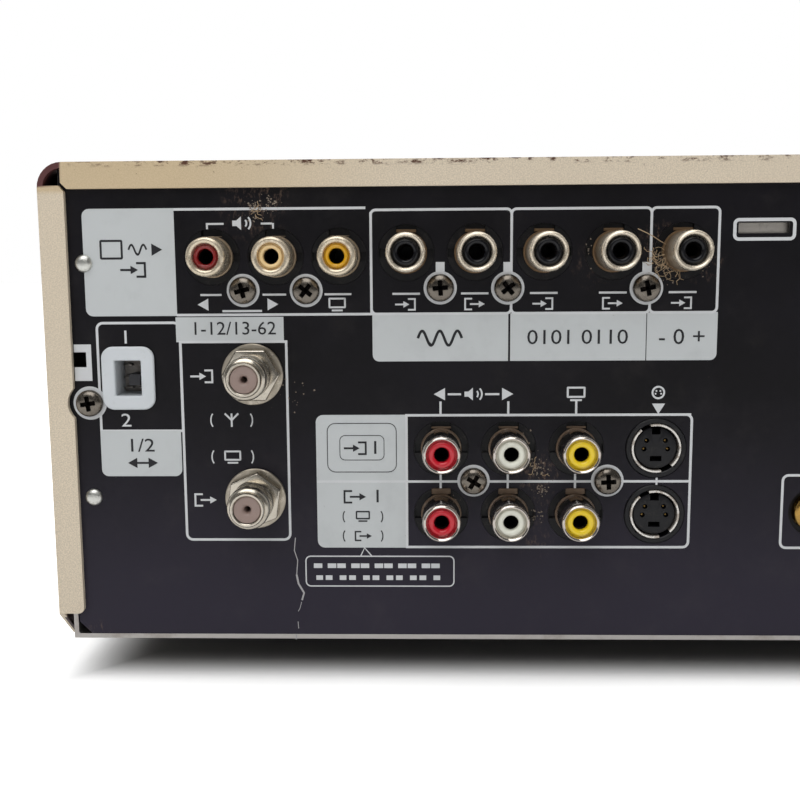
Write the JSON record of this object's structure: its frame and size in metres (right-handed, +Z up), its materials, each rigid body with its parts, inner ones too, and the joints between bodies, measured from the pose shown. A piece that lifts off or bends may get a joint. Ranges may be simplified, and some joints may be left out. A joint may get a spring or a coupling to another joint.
{
  "type": "vhs video cassette recorder",
  "caption": "Shelf video cassette recorder with a steel casing, rear audio, video and aerial sockets, a front cassette flap, a drop-down door, a dial and a working tape deck.",
  "frame": {"origin": "on the shelf under the middle of the machine's box, feet at z = 0", "axes": "+X across the width, front at -Y, rear sockets at +Y, +Z up"},
  "size_m": [0.4336, 0.384, 0.1156],
  "materials": {
    "cover_paint": "satin",
    "chassis_steel": "satin",
    "panel_paint": "satin",
    "bezel_plastic": "satin",
    "door_plastic": "satin",
    "smoked_window": "gloss",
    "foot_plastic": "matte",
    "black_screw": "satin",
    "bronze_screw": "satin",
    "white_rivet": "satin",
    "black_plastic": "satin",
    "socket_plating": "satin",
    "aerial_plating": "satin",
    "red_plastic": "gloss",
    "cream_plastic": "gloss",
    "yellow_plastic": "gloss",
    "switch_rim": "gloss",
    "switch_knob": "satin",
    "brass_ring": "satin",
    "tin_can": "satin",
    "green_board": "satin",
    "brown_board": "satin",
    "deck_steel": "satin",
    "lever_steel": "satin",
    "drum_metal": "polished",
    "shaft_steel": "polished",
    "roller_rubber": "matte",
    "white_plastic": "satin",
    "sled_brass": "satin",
    "head_metal": "satin",
    "motor_steel": "satin",
    "key_plastic": "satin",
    "dial_plastic": "satin"
  },
  "bodies": {
    "chassis": {"top_cover": "cover_paint", "base_pan": "chassis_steel", "rear_panel": "panel_paint", "front_bezel": "bezel_plastic", "display_window": "smoked_window", "feet": "foot_plastic", "case_screws": "black_screw", "panel_screws": "bronze_screw", "panel_rivets": "white_rivet", "jack_blocks": "black_plastic", "jack_shells": "socket_plating", "jack_inserts_black": "black_plastic", "jack_inserts_red": "red_plastic", "jack_inserts_white": "cream_plastic", "jack_inserts_yellow": "yellow_plastic", "svideo_shields": "socket_plating", "f_connectors": "aerial_plating", "ac_inlet": "black_plastic", "channel_switch_body": "switch_rim", "control_jack": "brass_ring", "tuner_module": "tin_can", "jack_board": "brown_board", "main_board": "green_board", "power_board": "brown_board", "display_board": "green_board", "deck_plate": "deck_steel", "drum_base": "drum_metal", "tape_heads": "head_metal", "loading_motor": "motor_steel", "carriage_brackets": "deck_steel"},
    "channel_switch_knob": {"channel_switch_knob": "switch_knob"},
    "drum_upper": {"drum_upper": "drum_metal"},
    "capstan": {"capstan": "shaft_steel"},
    "pinch_arm": {"pinch_arm": "lever_steel"},
    "pinch_roller": {"pinch_roller": "roller_rubber"},
    "supply_reel": {"supply_reel": "white_plastic"},
    "takeup_reel": {"takeup_reel": "white_plastic"},
    "idler_arm": {"idler_arm": "lever_steel"},
    "idler_gear": {"idler_gear": "white_plastic"},
    "supply_sled": {"supply_sled": "sled_brass"},
    "takeup_sled": {"takeup_sled": "sled_brass"},
    "tension_arm": {"tension_arm": "lever_steel"},
    "loading_worm": {"loading_worm": "white_plastic"},
    "cam_gear": {"cam_gear": "white_plastic"},
    "carriage_slider": {"carriage_slider": "deck_steel"},
    "cassette_holder": {"cassette_holder": "deck_steel"},
    "cassette_flap": {"cassette_flap": "door_plastic"},
    "front_door": {"front_door": "door_plastic"},
    "jog_dial": {"jog_dial": "dial_plastic"},
    "shuttle_ring": {"shuttle_ring": "dial_plastic"},
    "power_button": {"power_button": "key_plastic"},
    "eject_button": {"eject_button": "key_plastic"},
    "rewind_button": {"rewind_button": "key_plastic"},
    "play_button": {"play_button": "key_plastic"},
    "forward_button": {"forward_button": "key_plastic"},
    "stop_button": {"stop_button": "key_plastic"},
    "pause_button": {"pause_button": "key_plastic"},
    "record_button": {"record_button": "key_plastic"},
    "channel_rocker": {"channel_rocker": "key_plastic"},
    "output_switch_knob": {"output_switch_knob": "switch_knob"}
  },
  "joints": [
    {"name": "channel_switch_slide", "type": "slide", "parent": "chassis", "child": "channel_switch_knob", "axis": [0, 0, 1], "range_m": [0, 0.0025]},
    {"name": "drum_spin", "type": "hinge", "parent": "chassis", "child": "drum_upper", "pos_m": [0, 0.08, 0.0455], "axis": [0, -0.1045, 0.9945], "continuous": true},
    {"name": "capstan_spin", "type": "hinge", "parent": "chassis", "child": "capstan", "pos_m": [0.06, 0.044, 0.0395], "axis": [0, 0, 1], "continuous": true},
    {"name": "pinch_arm_swing", "type": "hinge", "parent": "chassis", "child": "pinch_arm", "pos_m": [0.086, 0.058, 0.0395], "axis": [0, 0, -1], "range_deg": [0, 22.01]},
    {"name": "pinch_roller_spin", "type": "hinge", "parent": "pinch_arm", "child": "pinch_roller", "pos_m": [0.07044, 0.02712, 0.0475], "axis": [0, 0, 1], "continuous": true},
    {"name": "supply_reel_spin", "type": "hinge", "parent": "chassis", "child": "supply_reel", "pos_m": [-0.046, -0.0285, 0.0395], "axis": [0, 0, 1], "continuous": true},
    {"name": "takeup_reel_spin", "type": "hinge", "parent": "chassis", "child": "takeup_reel", "pos_m": [0.046, -0.0285, 0.0395], "axis": [0, 0, 1], "continuous": true},
    {"name": "idler_swing", "type": "hinge", "parent": "chassis", "child": "idler_arm", "pos_m": [0, -0.0685, 0.0395], "axis": [0, 0, 1], "range_deg": [-25, 25]},
    {"name": "idler_gear_spin", "type": "hinge", "parent": "idler_arm", "child": "idler_gear", "pos_m": [0, -0.0285, 0.0415], "axis": [0, 0, 1], "continuous": true},
    {"name": "supply_sled_slide", "type": "slide", "parent": "chassis", "child": "supply_sled", "axis": [-0.0995, 0.995, 0], "range_m": [0, 0.07035]},
    {"name": "takeup_sled_slide", "type": "slide", "parent": "chassis", "child": "takeup_sled", "axis": [0.0995, 0.995, 0], "range_m": [0, 0.0704]},
    {"name": "tension_arm_swing", "type": "hinge", "parent": "chassis", "child": "tension_arm", "pos_m": [-0.082, 0.02, 0.0395], "axis": [0, 0, 1], "range_deg": [0, 35.01]},
    {"name": "loading_worm_spin", "type": "hinge", "parent": "chassis", "child": "loading_worm", "pos_m": [-0.092, 0.1, 0.0515], "axis": [1, 0, 0], "range_deg": [0, 5401]},
    {"name": "cam_gear_turn", "type": "hinge", "parent": "chassis", "child": "cam_gear", "pos_m": [-0.092, 0.075, 0.0475], "axis": [0, 0, 1], "range_deg": [0, 180.01]},
    {"name": "carriage_slide", "type": "slide", "parent": "chassis", "child": "carriage_slider", "axis": [0, 1, 0], "range_m": [0, 0.07]},
    {"name": "holder_drop", "type": "slide", "parent": "carriage_slider", "child": "cassette_holder", "axis": [0, 0, -1], "range_m": [0, 0.025]},
    {"name": "flap_swing", "type": "hinge", "parent": "chassis", "child": "cassette_flap", "pos_m": [0, -0.18075, 0.0982], "axis": [1, 0, 0], "range_deg": [0, 80], "stiffness_Nm_per_rad": 0.002},
    {"name": "door_swing", "type": "hinge", "parent": "chassis", "child": "front_door", "pos_m": [-0.025, -0.18075, 0.01705], "axis": [1, 0, 0], "range_deg": [0, 90]},
    {"name": "jog_spin", "type": "hinge", "parent": "chassis", "child": "jog_dial", "pos_m": [0.158, -0.182, 0.042], "axis": [0, 1, 0], "continuous": true},
    {"name": "shuttle_turn", "type": "hinge", "parent": "chassis", "child": "shuttle_ring", "pos_m": [0.158, -0.182, 0.042], "axis": [0, 1, 0], "range_deg": [-70, 70], "stiffness_Nm_per_rad": 0.02},
    {"name": "power_press", "type": "slide", "parent": "chassis", "child": "power_button", "axis": [0, 1, 0], "range_m": [0, 0.0008], "stiffness_N_per_m": 600},
    {"name": "eject_press", "type": "slide", "parent": "chassis", "child": "eject_button", "axis": [0, 1, 0], "range_m": [0, 0.0008], "stiffness_N_per_m": 600},
    {"name": "rewind_press", "type": "slide", "parent": "chassis", "child": "rewind_button", "axis": [0, 1, 0], "range_m": [0, 0.0008], "stiffness_N_per_m": 600},
    {"name": "play_press", "type": "slide", "parent": "chassis", "child": "play_button", "axis": [0, 1, 0], "range_m": [0, 0.0008], "stiffness_N_per_m": 600},
    {"name": "forward_press", "type": "slide", "parent": "chassis", "child": "forward_button", "axis": [0, 1, 0], "range_m": [0, 0.0008], "stiffness_N_per_m": 600},
    {"name": "stop_press", "type": "slide", "parent": "chassis", "child": "stop_button", "axis": [0, 1, 0], "range_m": [0, 0.0008], "stiffness_N_per_m": 600},
    {"name": "pause_press", "type": "slide", "parent": "chassis", "child": "pause_button", "axis": [0, 1, 0], "range_m": [0, 0.0008], "stiffness_N_per_m": 600},
    {"name": "record_press", "type": "slide", "parent": "chassis", "child": "record_button", "axis": [0, 1, 0], "range_m": [0, 0.0008], "stiffness_N_per_m": 600},
    {"name": "channel_rocker_tilt", "type": "hinge", "parent": "chassis", "child": "channel_rocker", "pos_m": [-0.05, -0.1645, 0.03], "axis": [0, 0, 1], "range_deg": [-5, 5], "stiffness_Nm_per_rad": 0.05},
    {"name": "output_switch_slide", "type": "slide", "parent": "chassis", "child": "output_switch_knob", "axis": [1, 0, 0], "range_m": [0, 0.004]}
  ],
  "couplings": [
    {"joint": "takeup_sled_slide", "follows": "supply_sled_slide", "ratio": 1},
    {"joint": "cam_gear_turn", "follows": "supply_sled_slide", "rad_per_m": 44.657},
    {"joint": "pinch_arm_swing", "follows": "supply_sled_slide", "rad_per_m": 5.458},
    {"joint": "tension_arm_swing", "follows": "supply_sled_slide", "rad_per_m": 8.6832},
    {"joint": "loading_worm_spin", "follows": "supply_sled_slide", "rad_per_m": 1339.7}
  ]
}
